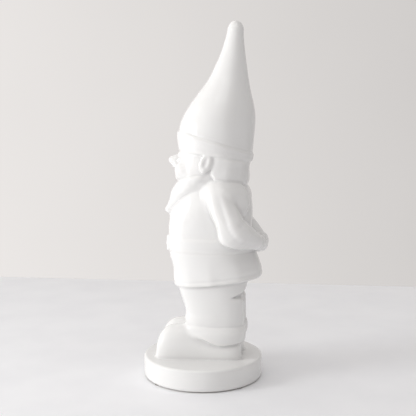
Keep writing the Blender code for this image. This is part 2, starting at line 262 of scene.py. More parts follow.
legs = {
    "rows": (
        (36, -14.0, 47.5, 16.6), (50, -15.4, 48.4, 16.8), (62, -17.2, 48.6, 16.9),
        (70, -17.9, 48.4, 17.1), (77, -17.2, 48.3, 17.2), (84, -18.8, 48.2, 17.4),
        (92, -21.4, 48.2, 17.8), (105, -25.4, 50.4, 18.6), (118, -28.0, 53.0, 19.4),
    ),
    "cuffRows": (
        (36, -14.5, 47.0, 16.4), (44, -15.2, 48.6, 17.4), (49, -16.4, 50.0, 18.2),
        (55, -17.6, 50.0, 18.3), (61, -17.4, 49.4, 17.6), (66, -17.0, 48.4, 16.6),
    ),
    # y and z of the lower edge of the turned-up cuff
    "cuffEdge": (
        (-22.0, 58.0), (-14.0, 54.9), (-6.0, 51.8), (6.0, 47.4), (14.0, 43.6), (21.0, 41.4),
        (27.0, 41.4), (33.0, 42.2), (45.0, 43.6), (54.0, 44.2),
    ),
    "cuffTop": 61.0,
    # Where the cuff starts to stand proud, from front to back, and over what length
    "cuffProud": (9.0, 4.0),
}


def makeLegs():
    for word, side in sides():
        middle = side * place["legX"]
        where, x, y, z = block((middle - 26, -36, 56), (middle + 26, 62, 124))
        field = oval(legs["rows"], x, y, z, middle, 2.2)
        # A deep crease under the seat, and a soft drag line over the knee.
        mx = x * side
        seat = ((29, 35, 95.6), (24, 43, 96.8), (15, 50, 97.4), (4, 51, 97.4))
        crease = rod(mx, y, z, seat, (0.4, 2.3, 5.4, 5.4))
        field = carve(field, crease, 4.0)
        drag = rod(mx, y, z, ((16, -22, 74), (31, -4, 70), (35, 14, 72)), 2.0)
        field = field - 0.5 * beside(drag, 14)
        proud = ramped(y, *legs["cuffProud"])
        field = field + 1.3 * proud * bump(z, legs["cuffTop"] + 0.8, 1.6)
        field = meet(field, legs["cuffTop"] - z, 0.5)
        field = meet(field, plane(y, z, (hem[0] + 5, hem[1])), 0.5)
        keep("trouser_leg_" + word, where, field, 2.2)

        where, x, y, z = block((middle - 26, -34, 34), (middle + 26, 60, 68))
        field = oval(legs["cuffRows"], x, y, z, middle, 2.2)
        # The cuff stands proud towards the back and dies away over the instep.
        proud = ramped(y, *legs["cuffProud"])
        field = field - 0.7 * proud * bump(z, 56.5, 4.0)
        edge = along(legs["cuffEdge"], 1, y)
        field = meet(field, (edge - z) * 0.93, 1.5 + 1.5 * (1 - proud))
        field = meet(field, z - legs["cuffTop"] - 1.5, 1.0)
        keep("trouser_cuff_" + word, where, field, 1.6)


jacket = {
    "skirtRows": (
        (98, -25.0, 60.0, 35.0), (104, -29.4, 63.0, 37.4), (109, -32.6, 64.4, 38.8),
        (116, -33.4, 66.0, 39.2), (122, -33.3, 67.3, 39.2), (131, -35.2, 65.2, 38.8),
        (139, -37.3, 62.2, 38.2), (146, -38.4, 59.2, 37.6),
    ),
    "bodyRows": (
        (158, -38.0, 57.8, 37.4), (168, -38.9, 56.2, 38.0), (176, -38.5, 55.4, 38.4),
        (186, -35.8, 56.2, 38.8), (198, -29.6, 55.8, 38.2), (208, -23.0, 54.2, 36.6),
        (216, -16.5, 51.2, 33.5), (224, -8.0, 47.0, 28.0),
    ),
    "beltRows": (
        (142, -38.6, 58.4, 37.8), (147, -39.4, 59.2, 38.2), (153, -39.8, 59.4, 38.4),
        (160, -39.4, 59.0, 38.3), (165, -38.4, 58.0, 37.8),
    ),
    # Angle round the body in degrees from the front, height of the fold and its depth.
    "folds": ((24, 0.4), (52, 0.4), (87, 1.25), (128, 0.8), (160, 0.6)),
}


def makeJacket():
    where, x, y, z = block((-50, -48, 92), (50, 78, 156))
    field = oval(jacket["skirtRows"], x, y, z, 0.0, 2.35)
    above = plane(y, z, hem)
    around = np.degrees(np.arctan2(np.abs(x), -(y - 14)))
    for angle, deep in jacket["folds"]:
        drop = np.clip(1.0 - above / 32.0, 0.0, 1.0)
        field = field - deep * drop * bump(around, angle - 0.12 * (above - 10), 9.0)
    field = field - 0.9 * bump(above, 2.6, 1.9) + 0.25 * bump(above, 6.6, 1.8)
    # The right front laps over the left in a soft step.
    field = field + 0.7 * bump(x, 4.0, 1.0) * (y < 0)
    field = meet(field, -above, 2.2)
    field = meet(field, z - place["beltLow"], 1.0)
    keep("jacket_skirt", where, field, 1.4)

    where, x, y, z = block((-50, -48, 140), (50, 72, 168))
    field = oval(jacket["beltRows"], x, y, z, 0.0, 2.3)
    field = field - 0.25 * bump(z, place["beltLow"] + 2.4, 1.1)
    field = field - 0.25 * bump(z, place["beltHigh"] - 2.4, 1.1)
    field = meet(field, place["beltLow"] - z, 1.8)
    field = meet(field, z - place["beltHigh"], 1.8)
    keep("belt", where, field, 1.0)

    where, x, y, z = block((-48, -46, 156), (48, 66, 232))
    field = oval(jacket["bodyRows"], x, y, z, 0.0, 2.25)
    shoulder = ball(np.abs(x), y, z, (26.0, 28.0, 203.5), (19.0, 26.0, 24.0))
    field = join(field, shoulder, 5.0)
    # A soft collar lies under the beard.
    collar = rod(
        np.abs(x), y, z,
        ((29.5, 4, 219), (28.7, 0, 215.5), (27.4, -10, 207.5), (22.7, -21, 198.5),
         (11.4, -31.5, 191), (0, -37, 185)), 0.5,
    )
    field = field - 1.8 * np.exp(-((np.maximum(collar, 0) / 4.6) ** 2))
    field = field + 0.7 * bump(x, 4.0, 1.0) * (y < 0)
    field = meet(field, place["beltHigh"] - z, 0.8)
    keep("jacket_body", where, field, 1.6)


buckle = {"width": 23.0, "height": 18.4, "front": -41.2, "bar": 3.8}


def makeBuckle():
    middle = (place["beltLow"] + place["beltHigh"]) / 2
    where, x, y, z = block((-20, -48, 136), (20, -30, 170))
    wide, tall = buckle["width"] / 2, buckle["height"] / 2

    def frameBox(half, high, corner):
        u = np.maximum(np.abs(x) - half + corner, 0.0)
        v = np.maximum(np.abs(z - middle) - high + corner, 0.0)
        return np.sqrt(u * u + v * v) - corner

    # The frame follows the round of the belt.
    front = buckle["front"] + 0.0085 * x * x
    slab = np.maximum(front - y, y - front - 3.4)
    outer = meet(frameBox(wide, tall, 4.0), slab, 2.2)
    window = frameBox(wide - buckle["bar"], tall - buckle["bar"], 2.2)
    window = np.maximum(window, y - front - 1.5)
    field = carve(outer, window, 0.9)
    prong = rod(x, y, z, ((-8.5, -39.6, middle), (0, -40.9, middle), (9.0, -40.4, middle)), 1.4)
    keep("belt_buckle", where, join(field, prong, 0.6), 0.5)


arm = {
    # x, y, z, radius along the sleeve
    "rows": (
        (25.0, 19.0, 217.0, 12.5), (31.0, 20.5, 211.0, 14.6), (35.5, 22.9, 204.5, 15.0),
        (38.5, 27.0, 194.6, 14.9), (41.0, 31.9, 184.0, 15.0), (42.0, 36.2, 174.8, 15.8),
        (40.5, 42.0, 168.4, 16.0), (35.0, 49.0, 164.4, 13.8), (28.5, 55.5, 160.8, 11.3),
        (21.0, 61.6, 157.2, 9.2), (14.0, 66.0, 154.4, 8.0),
    ),
    # Where round the sleeve each fold lies (radians), how it turns along it, width, depth
    "folds": (
        (0.35, 0.6, 0.22, 1.3), (0.95, 0.9, 0.20, -1.1), (2.1, -0.6, 0.28, 1.2),
        (3.3, 0.7, 0.3, 1.0), (-0.7, 0.5, 0.26, -1.0),
    ),
}


def makeArms():
    rows = arm["rows"]
    keys = [(n, *row) for n, row in enumerate(rows)]
    ts = np.linspace(0, len(rows) - 1, 31)
    path = np.stack([along(keys, c, ts) for c in (1, 2, 3)], 1)
    radii = along(keys, 4, ts)
    for word, side in sides():
        low = (0 if side > 0 else -64, -6, 132)
        high = (64 if side > 0 else 0, 80, 236)
        where, x, y, z = block(low, high)
        mx = x * side
        best = np.full(np.broadcast_shapes(x.shape, y.shape, z.shape), 99.0, np.float32)
        run = np.zeros_like(best)
        spoke = np.zeros_like(best)
        for k in range(len(path) - 1):
            a, b = path[k], path[k + 1]
            d = b - a
            t = ((mx - a[0]) * d[0] + (y - a[1]) * d[1] + (z - a[2]) * d[2]) / float(d @ d)
            t = np.clip(t, 0.0, 1.0)
            px, py, pz = mx - a[0] - t * d[0], y - a[1] - t * d[1], z - a[2] - t * d[2]
            gap = np.sqrt(px * px + py * py + pz * pz) - radii[k] - t * (radii[k + 1] - radii[k])
            # Angle round the sleeve, measured from its outer side.
            ahead = d / np.linalg.norm(d)
            out = np.array((1.0, 0.25, 0.1))
            out = out - ahead * (out @ ahead)
            out = out / np.linalg.norm(out)
            other = np.cross(ahead, out)
            angle = np.arctan2(
                px * other[0] + py * other[1] + pz * other[2],
                px * out[0] + py * out[1] + pz * out[2],
            )
            nearer = gap < best
            best = np.where(nearer, gap, best)
            run = np.where(nearer, (k + t) / (len(path) - 1), run)
            spoke = np.where(nearer, angle, spoke)
        # The elbow comes to a blunt corner below the sleeve.
        field = join(best, ball(mx, y, z, (43.0, 32.0, 165.4), (9.4, 9.9, 9.8)), 7.0)
        for start, turn, width, deep in arm["folds"]:
            off = spoke - start - turn * (run - 0.4)
            off = (off + math.pi) % (2 * math.pi) - math.pi
            fade = bump(run, 0.42, 0.26)
            field = field + deep * fade * np.exp(-((off / width) ** 2))
        # The elbow's crook is pinched into two creases.
        crook = rod(mx, y, z, ((30, 44, 182), (52, 46, 178)), 1.0)
        field = field + 0.9 * beside(crook, 9)
        # The cuff of the sleeve is turned back over the wrist.
        field = field - 1.0 * bump(run, 0.965, 0.03) + 0.5 * bump(run, 0.905, 0.02)
        field = meet(field, 9.0 - mx, 1.5)
        # At the shoulder the sleeve runs into the coat without a seam.
        upper = ramped(z, 206.0, 3.0)
        keep("sleeve_" + word, where, even(field), 1.6 + 8.0 * upper)


hands = {
    # height, reach backwards and radius of each finger of the upper hand
    "fingers": ((157.0, 65.6, 2.0), (153.8, 68.6, 2.3), (150.4, 70.2, 2.3), (147.2, 69.0, 2.0)),
}


def makeHands():
    where, x, y, z = block((-20, 50, 134), (22, 82, 172))
    palm = ball(x, y, z, (7.5, 63.2, 152.4), (9.4, 7.0, 7.8))
    for height, reach, thick in hands["fingers"]:
        finger = rod(
            x, y, z,
            ((9.5, reach - 3.4, height), (5.0, reach - 0.2, height - 0.3),
             (-2.4, reach, height - 0.6), (-7.6, reach - 3.4, height - 0.9)),
            (thick, thick, thick * 0.96, thick * 0.84),
        )
        palm = join(palm, finger, 0.9)
    keep("hand_left", where, even(palm), 0.7)

    fist = ball(x, y, z, (-8.0, 62.6, 152.0), (9.4, 7.4, 8.2))
    thumb = rod(x, y, z, ((-11, 63.6, 157.4), (-6.0, 66.8, 160.0), (1.0, 66.6, 161.0)), (2.8, 2.6, 2.2))
    fist = join(fist, thumb, 2.0)
    heel = ball(x, y, z, (-12.0, 65.0, 149.6), (5.6, 4.6, 5.8))
    keep("hand_right", where, even(join(fist, heel, 2.5)), 0.7)


head = {
    "rows": (
        (210, -22.0, 42.0, 27.0), (221, -28.0, 46.0, 33.4), (229, -30.0, 47.4, 35.8),
        (236, -29.4, 48.4, 36.6), (247, -26.6, 50.0, 37.2), (262, -25.6, 52.0, 37.6),
    ),
    "eye": {"x": 11.4, "y": -25.0, "z": 245.6},
}


def makeHead():
    where, x, y, z = block((-46, -48, 208), (46, 62, 264))
    m = np.abs(x)
    field = oval(head["rows"], x, y, z, 0.0, 2.15)
    cheek = ball(m, y, z, (17.6, -20.6, 236.0), (9.2, 8.6, 8.2))
    field = join(field, cheek, 7.0)
    eye = head["eye"]
    socket = ball(m, y, z, (eye["x"], eye["y"] - 4.0, eye["z"] + 0.6), (7.8, 4.2, 5.0))
    field = carve(field, socket, 4.0)
    brow = rod(m, y, z, ((3.6, -25.0, 251.4), (9.5, -25.4, 253.2), (17.0, -22.2, 252.0)), (1.6, 2.0, 1.4))
    field = join(field, brow, 3.0)
    eyeball = ball(m, y, z, (eye["x"], eye["y"] + 1.0, eye["z"]), (4.7, 4.0, 3.5))
    field = join(field, eyeball, 0.8)
    lid = ball(m, y, z, (eye["x"], eye["y"] + 1.2, eye["z"] + 0.3), (5.4, 4.7, 4.1))
    lid = meet(lid, (eye["z"] + 0.4 + 0.03 * (m - eye["x"]) ** 2) - z, 0.5)
    field = join(field, lid, 1.2)
    # Lips, closed in a small smile.
    upper = rod(m, y, z, ((0, -29.9, 231.2), (5.0, -29.3, 231.4), (9.2, -27.0, 232.8)), (2.0, 1.8, 1.0))
    lower = rod(m, y, z, ((0, -29.8, 227.0), (4.5, -29.2, 227.6), (7.6, -27.8, 229.2)), (2.1, 1.8, 1.1))
    field = join(field, upper, 2.0)
    field = join(field, lower, 2.0)
    smile = rod(m, y, z, ((0, -32.6, 229.0), (5.5, -31.4, 229.4), (9.6, -28.6, 231.8)), (0.7, 0.7, 0.9))
    field = carve(field, smile, 1.2)
    fold = rod(m, y, z, ((8.0, -29.4, 238.6), (11.6, -28.2, 234.6), (12.8, -26.8, 229.8)), 0.3)
    field = carve(field, fold, 3.0)
    field = meet(field, place["neck"] - z, 1.0)
    field = meet(field, plane(y, z, bandLow), 0.6)
    keep("head", where, even(field), 1.2)

    where, x, y, z = block((-14, -46, 228), (14, -16, 260))
    m = np.abs(x)
    nose = ball(x, y, z, (0, -30.6, 245.6), (6.6, 9.0, 6.0), (-14, 0, 0))
    bridge = ball(x, y, z, (0, -26.0, 248.6), (4.6, 6.4, 5.4), (-10, 0, 0))
    under = ball(x, y, z, (0, -29.6, 240.4), (4.4, 4.6, 4.6))
    wing = ball(m, y, z, (4.4, -28.8, 241.4), (3.4, 4.2, 3.6))
    nose = join(join(join(nose, bridge, 3.0), under, 3.0), wing, 2.0)
    nostril = ball(m, y, z, (2.6, -32.4, 236.9), (1.3, 1.7, 1.4))
    nose = carve(nose, nostril, 0.9)
    keep("nose", where, even(nose), 2.6)

    for word, side in sides():
        low = (28 if side > 0 else -50, -8, 224)
        high = (50 if side > 0 else -28, 26, 262)
        where, x, y, z = block(low, high)
        mx = x * side
        ear = ball(mx, y, z, (38.0, 8.9, 244.8), (4.6, 7.2, 11.2), (-20, 0, 12))
        bowl = ball(mx, y, z, (43.9, 6.6, 244.6), (3.3, 3.6, 7.2), (-20, 0, 16))
        ear = carve(ear, bowl, 2.6)
        flap = ball(mx, y, z, (38.6, 2.6, 241.4), (2.6, 2.6, 3.6))
        lobe = ball(mx, y, z, (37.6, 5.0, 236.4), (3.4, 3.8, 3.8))
        ear = join(join(ear, flap, 2.0), lobe, 3.0)
        keep("ear_" + word, where, even(ear), 1.3)


hair = {
    "rows": (
        (214, -10.0, 46.0, 32.0), (219, -10.0, 50.0, 35.8), (224, -12.0, 52.2, 38.2),
        (231, -12.0, 52.8, 39.4), (238, -12.0, 52.4, 39.6), (246, -12.0, 53.6, 39.8),
        (256, -12.0, 54.6, 39.9),
    ),
    "beardRows": (
        (184.5, -38.2, -28.0, 1.6), (187.5, -42.6, -18.0, 4.8), (191, -43.8, -10.0, 8.0),
        (196, -40.8, -2.0, 14.0), (203, -38.2, 14.0, 22.8), (212, -36.0, 24.0, 30.4),
        (220, -31.4, 32.0, 35.0), (226, -30.4, 35.0, 36.8), (232, -28.4, 35.0, 37.2),
    ),
}


def makeHair():
    where, x, y, z = block((-48, 0, 210), (48, 64, 264))
    field = oval(hair["rows"], x, y, z, 0.0, 2.2)
    m = np.abs(x)
    around = np.arctan2(m, y - 8)
    # Combed locks, shallow under the glaze.
    locks = np.sin(around * 17.0 + 0.10 * (z - 231)) * 0.16
    field = field + locks
    edge = 12.5 + 0.05 * (z - 240) + 0.8 * np.maximum(232.0 - z, 0.0)
    field = meet(field, (edge - y) * 0.85, 3.0)
    field = meet(field, 218.6 - z, 3.0)
    field = meet(field, plane(y, z, bandLow), 0.6)
    keep("hair", where, even(field), 0.9)

    where, x, y, z = block((-46, -54, 178), (46, 40, 238))
    m = np.abs(x)
    field = oval(hair["beardRows"], x, y, z, 0.0, 2.0)
    # Its upper edge runs from under the lip to the ear lobe.
    rim = 220.8 + 0.0072 * m * m + 0.02 * m
    field = meet(field, z - rim, 2.4)
    # The lower edge follows the jaw back, and a shallow valley splits the beard in two lobes.
    jaw = y - 15.0 - 0.35 * (z - 222.0)
    field = meet(field, jaw, 3.0)
    valley = rod(
        m, y, z, ((36, 9, 228), (35, -2, 219), (30, -14, 210), (22, -26, 200), (11, -37, 193)), 0.5
    )
    field = field + beside(valley, 12)
    keep("beard", where, even(field), 1.0)


hat = {
    "bandRows": (
        (236, -24.4, 52.6, 39.0), (246, -25.0, 55.4, 40.6), (252, -25.4, 56.6, 41.4),
        (258, -26.6, 57.0, 41.8), (265, -28.4, 57.2, 42.1), (273, -29.0, 57.6, 42.2),
        (284, -27.0, 58.0, 41.8),
    ),
    "rows": (
        (246, -24.0, 54.0, 39.4), (258, -25.2, 55.9, 40.4), (272, -26.8, 57.3, 41.4),
        (284, -26.3, 58.4, 41.9), (296, -21.8, 58.7, 39.9), (308, -14.5, 57.0, 35.7),
        (320, -5.6, 54.1, 29.8), (335, 5.6, 51.2, 22.8), (350, 13.4, 49.0, 17.8),
        (365, 20.0, 47.0, 13.5), (380, 24.9, 45.5, 10.3), (390, 27.4, 44.7, 8.8),
        (402, 30.0, 43.0, 7.2),
    ),
}


def makeHat():
    where, x, y, z = block((-52, -40, 232), (52, 70, 294))
    field = oval(hat["bandRows"], x, y, z)
    low, high = plane(y, z, bandLow), plane(y, z, bandHigh)
    field = field - 0.3 * bump(low, 3.0, 2.2) - 0.4 * bump(high, -3.0, 2.2)
    field = meet(field, -low, 2.4)
    field = meet(field, high, 2.0)
    keep("hat_band", where, even(field), 1.2)

    where, x, y, z = block((-52, -40, 240), (52, 70, 406))
    field = oval(hat["rows"], x, y, z)
    tip = ball(x, y, z, (0, 36.4, place["hatTop"] - 8.4), (8.2, 8.2, 8.2))
    field = meet(field, z - (place["hatTop"] - 8.0), 3.0)
    field = join(field, tip, 3.0)
    # Felt folds that rise from the band and die away.
    rise = plane(y, z, bandHigh)
    around = np.arctan2(x, y - 16)
    fade = np.exp(-np.maximum(rise, 0) / 16.0)
    field = field + 0.22 * fade * np.sin(around * 9 + 0.6)
    field = meet(field, -rise, 0.8)
    keep("hat", where, even(field), 1.0)


order = (
    "trouser_leg_left", "trouser_leg_right", "jacket_skirt", "jacket_body", "belt",
    "trouser_cuff_left", "trouser_cuff_right", "boot_left", "boot_right",
    "sleeve_left", "sleeve_right", "hand_right", "hand_left", "head", "hair", "beard",
    "nose", "ear_left", "ear_right", "hat", "hat_band", "belt_buckle",
)

makeLegs()
makeBoots()
makeJacket()
makeBuckle()
makeArms()
makeHands()
makeHead()
makeHair()
makeHat()
print("clay members:", len(members))

body = np.full(gridShape, clay["far"], np.float32)
for name in order:
    member = members[name]
    body[member["where"]] = join(body[member["where"]], member["field"], member["soft"])


def soften(field, reach):
    # Rounds every edge and crease by a small blur, as a thick coat of glaze does.
    for _ in range(max(round(2 * (reach / clay["step"]) ** 2), 1)):
        for axis in range(3):
            ahead = np.moveaxis(field, axis, 0)
            ahead[1:-1] = ahead[1:-1] * 0.5 + (ahead[:-2] + ahead[2:]) * 0.25
    return field


body = soften(body, clay["soften"])
# The glaze runs out in a small fillet where the boots stand.
ground = gridAxes[2] - place["plinthTop"] + clay["filletDrop"]
body = join(body, ground[None, None, :], clay["fillet"])


def sample(field, points, origin=(0, 0, 0), outside=None):
    # Reads a grid at points given in grid steps.
    limit = np.array(field.shape) - 1
    p = points - np.array(origin)
    inside = np.all((p >= 0) & (p <= limit), axis=1)
    q = np.clip(p, 0, limit - 1e-4)
    i = np.floor(q).astype(np.int64)
    f = (q - i).astype(np.float32)
    total = np.zeros(len(points), np.float32)
    for dx in (0, 1):
        for dy in (0, 1):
            for dz in (0, 1):
                w = (
                    (f[:, 0] if dx else 1 - f[:, 0])
                    * (f[:, 1] if dy else 1 - f[:, 1])
                    * (f[:, 2] if dz else 1 - f[:, 2])
                )
                total += w * field[i[:, 0] + dx, i[:, 1] + dy, i[:, 2] + dz]
    if outside is not None:
        total = np.where(inside, total, outside)
    return total


def skin():
    # The surface of the whole clay model, its normals and how hollow it is at each point.
    grid = openvdb.FloatGrid(background=clay["far"])
    grid.copyFromArray(body)
    points, _, quads = grid.convertToPolygons(isovalue=0.0, adaptivity=0.0)
    points = points.astype(np.float64)
    slopes = np.gradient(body)
    for _ in range(3):
        value = sample(body, points)
        g = np.stack([sample(s, points) for s in slopes], 1)
        size = np.maximum((g * g).sum(1), 1e-6)
        points -= g * (value / size)[:, None] * 0.9
    g = np.stack([sample(s, points) for s in slopes], 1)
    normals = g / np.maximum(np.linalg.norm(g, axis=1, keepdims=True), 1e-6)
    triangles = np.concatenate([quads[:, (0, 1, 2)], quads[:, (0, 2, 3)]]).astype(np.int64)
    a, b, c = (points[triangles[:, k]] for k in range(3))
    if np.einsum("ij,ij->i", a, np.cross(b, c)).sum() < 0:
        triangles = triangles[:, ::-1].copy()
    slopes = [s / clay["step"] for s in slopes]
    curl = sum(np.gradient(s, clay["step"], axis=k) for k, s in enumerate(slopes))
    hollow = -sample(curl.astype(np.float32), points)
    return points, normals, triangles, hollow


points, normals, triangles, hollow = skin()
print("skin:", len(points), "points", len(triangles), "triangles")


def distances():
    # Each member's distance at every point of the skin.
    table = np.full((len(order), len(points)), clay["far"], np.float32)
    for k, name in enumerate(order):
        member = members[name]
        origin = [s.start for s in member["where"]]
        table[k] = sample(member["field"], points, origin, clay["far"])
    return table


def islands(triangles, count):
    # Numbers the connected parts of a mesh.
    label = np.arange(count)
    while True:
        low = label[triangles].min(axis=1)
        new = label.copy()
        for k in range(3):
            np.minimum.at(new, triangles[:, k], low)
        new = new[new]
        if (new == label).all():
            return label
        label = new


def settle(near):
    # Hands each stray patch of a member over to its neighbour.
    for _ in range(2):
        label = near.argmin(axis=0)
        inside = (label[triangles] == label[triangles[:, :1]]).all(axis=1)
        patch = islands(triangles[inside], len(points))
        _, index, count = np.unique(patch, return_inverse=True, return_counts=True)
        size = count[index]
        largest = np.zeros(len(order), int)
        np.maximum.at(largest, label, size)
        stray = np.where(size < clay["stray"] * largest[label])[0]
        near[label[stray], stray] += 2 * clay["far"]
    return near


def clip(side, data):
    # The part of the skin where side is negative, cut along its zero line.
    corners = side[triangles]
    inside = corners < 0
    held = inside.sum(1)
    whole = triangles[held == 3]
    edgeA, edgeB = [], []

    def onEdge(p, q):
        # Notes new points between p and q, and numbers them below zero for now.
        edgeA.append(np.minimum(p, q))
        edgeB.append(np.maximum(p, q))
        count = sum(len(e) for e in edgeA)
        return -np.arange(count - len(p), count) - 1

    one = triangles[held == 1]
    first = inside[held == 1].argmax(1)
    rows = np.arange(len(one))
    a, b, c = (one[rows, (first + k) % 3] for k in range(3))
    tips = np.stack([a, onEdge(a, b), onEdge(a, c)], 1)
    two = triangles[held == 2]
    first = (~inside[held == 2]).argmax(1)
    rows = np.arange(len(two))
    a, b, c = (two[rows, (first + k) % 3] for k in range(3))
    ab, ac = onEdge(a, b), onEdge(a, c)
    bands = np.concatenate([np.stack([ab, b, c], 1), np.stack([ab, c, ac], 1)])
    edgeA, edgeB = np.concatenate(edgeA), np.concatenate(edgeB)
    key, back = np.unique(edgeA * len(points) + edgeB, return_inverse=True)
    low, high = key // len(points), key % len(points)
    t = side[low] / (side[low] - side[high])
    t = np.clip(t, 0.02, 0.98)[:, None]
    out = [np.concatenate([d, d[low] * (1 - t) + d[high] * t]) for d in data]
    faces = np.concatenate([whole, tips, bands])
    cut = faces < 0
    faces[cut] = len(points) + back[-faces[cut] - 1]
    used, faces = np.unique(faces, return_inverse=True)
    faces = faces.reshape(-1, 3)
    return [d[used] for d in out], faces


def thin(points, normals):
    # How far the inner wall may go in without meeting the other side.
    depth = np.full(len(points), clay["wall"])
    for _ in range(9):
        inner = points - normals * (depth / clay["step"])[:, None]
        reach = -sample(body, inner, outside=0.0)
        depth = np.where(reach < clay["clear"] * depth, depth * 0.75, depth)
    return depth


def buildPiece(name, side):
    height = points[:, 2] * clay["step"] + clay["low"][2] - place["plinthTop"]
    side = np.maximum(side, -clay["sunk"] - height)
    (p, n, poolAndShade), faces = clip(side, (points, normals, hollow[:, None]))
    n = n / np.linalg.norm(n, axis=1, keepdims=True)
    count = len(p)
    outer = p * clay["step"] + np.array(clay["low"])
    inner = outer - n * thin(p, n)[:, None]
    inner[:, 2] = np.maximum(inner[:, 2], place["plinthTop"] - clay["innerSunk"])
    ends = np.concatenate([faces[:, (0, 1)], faces[:, (1, 2)], faces[:, (2, 0)]])
    twin = ends[:, ::-1]
    code = ends[:, 0] * count + ends[:, 1]
    rim = ends[~np.isin(code, twin[:, 0] * count + twin[:, 1])]
    wall = np.concatenate([
        np.stack([rim[:, 1], rim[:, 0], rim[:, 0] + count], 1),
        np.stack([rim[:, 1], rim[:, 0] + count, rim[:, 1] + count], 1),
    ])
    every = np.concatenate([faces, faces[:, ::-1] + count, wall])
    places = np.concatenate([outer, inner]) * mm
    mesh = bpy.data.meshes.new(name + "Skin")
    mesh.from_pydata(places.tolist(), [], every.tolist())
    smooth = np.ones(len(every), bool)
    smooth[2 * len(faces):] = False
    mesh.polygons.foreach_set("use_smooth", smooth)
    loops = np.concatenate([
        n[faces].reshape(-1, 3), -n[faces[:, ::-1]].reshape(-1, 3), np.zeros((3 * len(wall), 3))
    ])
    mesh.normals_split_custom_set(loops.tolist())
    # How hollow the skin is at each point; the glaze paints creases darker with it, as painted shade and
    # pooled glaze, and edges paler
    shadeAndPoolAttribute = mesh.attributes.new("paintedShadeAndPooling", "FLOAT", "POINT")
    depth = np.clip(poolAndShade[:, 0] * clay["shadeAndPooling"], -1, 1)
    shadeAndPoolAttribute.data.foreach_set("value", np.concatenate([depth, depth * 0]).astype(np.float32))
    piece = bpy.data.objects.new(name + "Glazed", mesh)
    bpy.context.scene.collection.objects.link(piece)
    return piece


def material(name):
    made = bpy.data.materials.new(name)
    made.use_nodes = True
    nodes = made.node_tree.nodes
    return made, nodes, made.node_tree.links, nodes["Principled BSDF"]


def noise(nodes, links, where, scale, detail):
    made = nodes.new("ShaderNodeTexNoise")
    made.inputs["Scale"].default_value = scale
    made.inputs["Detail"].default_value = detail
    links.new(where, made.inputs["Vector"])
    return made.outputs["Fac"]


def ranged(nodes, links, amount, low, high):
    made = nodes.new("ShaderNodeMapRange")
    made.inputs["To Min"].default_value = low
    made.inputs["To Max"].default_value = high
    links.new(amount, made.inputs["Value"])
    return made.outputs["Result"]


def ramp(nodes, links, amount, stops):
    # Colours at their positions along a ramp.
    made = nodes.new("ShaderNodeValToRGB")
    ends = made.color_ramp.elements
    for end, (position, colour) in zip((ends[0], ends[1]), (stops[0], stops[-1])):
        end.position = position
        end.color = (*colour, 1)
    for position, colour in stops[1:-1]:
        ends.new(position).color = (*colour, 1)
    links.new(amount, made.inputs["Fac"])
    return made.outputs["Color"]


glazeLook = {
    # Creases are painted darker, as painted shade and pooled glaze, and edges paler where the glaze runs
    # thin
    "stops": (
        (0.25, (0.83, 0.826, 0.818)), (0.5, (0.81, 0.808, 0.803)), (0.85, (0.735, 0.73, 0.728)),
    ),
    # Scale and detail of the faint clouds, and the range of tone and roughness they bring
    "cloud": (28.0, 3.0),
    "cloudTone": (0.975, 1.015),
    "roughness": (0.11, 0.19),
    # Scale and detail of the ripple, and its depth in metres
    "ripple": (55.0, 1.0),
    "rippleDepth": 0.0005,
    "index": 1.45,
    "coat": 0.3,
    "coatRoughness": 0.08,
}


def glazeMaterial():
    made, nodes, links, shader = material("whiteGlaze")
    where = nodes.new("ShaderNodeTexCoord")
    shadeAndPooling = nodes.new("ShaderNodeAttribute")
    shadeAndPooling.attribute_name = "paintedShadeAndPooling"
    shift = nodes.new("ShaderNodeMath")
    shift.operation = "MULTIPLY_ADD"
    shift.inputs[1].default_value = 0.5
    shift.inputs[2].default_value = 0.5
    links.new(shadeAndPooling.outputs["Fac"], shift.inputs[0])
    # The ramp paints creases darker, as painted shade and pooled glaze, and edges paler
    colour = ramp(nodes, links, shift.outputs[0], glazeLook["stops"])
    cloud = noise(nodes, links, where.outputs["Object"], *glazeLook["cloud"])
    tone = nodes.new("ShaderNodeMix")
    tone.data_type = "RGBA"
    tone.blend_type = "MULTIPLY"
    tone.inputs["Factor"].default_value = 1.0
    links.new(colour, tone.inputs["A"])
    links.new(ranged(nodes, links, cloud, *glazeLook["cloudTone"]), tone.inputs["B"])
    links.new(tone.outputs["Result"], shader.inputs["Base Color"])
    links.new(ranged(nodes, links, cloud, *glazeLook["roughness"]), shader.inputs["Roughness"])
    bumps = nodes.new("ShaderNodeBump")
    bumps.inputs["Strength"].default_value = 0.5
    bumps.inputs["Distance"].default_value = glazeLook["rippleDepth"]
    ripple = noise(nodes, links, where.outputs["Object"], *glazeLook["ripple"])
    links.new(ripple, bumps.inputs["Height"])
    links.new(bumps.outputs["Normal"], shader.inputs["Normal"])
    shader.inputs["IOR"].default_value = glazeLook["index"]
    shader.inputs["Coat Weight"].default_value = glazeLook["coat"]
    shader.inputs["Coat Roughness"].default_value = glazeLook["coatRoughness"]
    return made


# Scale and detail of each grain, and its colours along a ramp
bisqueLook = {
    "grain": (900.0, 4.0),
    "stops": ((0.0, (0.62, 0.58, 0.52)), (1.0, (0.78, 0.75, 0.70))),
    "roughness": 0.85,
}
feltLook = {
    "grain": (1400.0, 6.0),
    "stops": ((0.0, (0.16, 0.155, 0.15)), (1.0, (0.34, 0.33, 0.31))),
    "roughness": 0.95,
}
floorLook = {
    "grain": (14.0, 6.0),
    "stops": ((0.35, (0.895, 0.90, 0.925)), (0.62, (0.925, 0.93, 0.952))),
    "roughness": 0.55,
    # Metres from the axis to the wall's foot, and to the other sides
    "edge": -0.511,
    "size": 12.0,
}


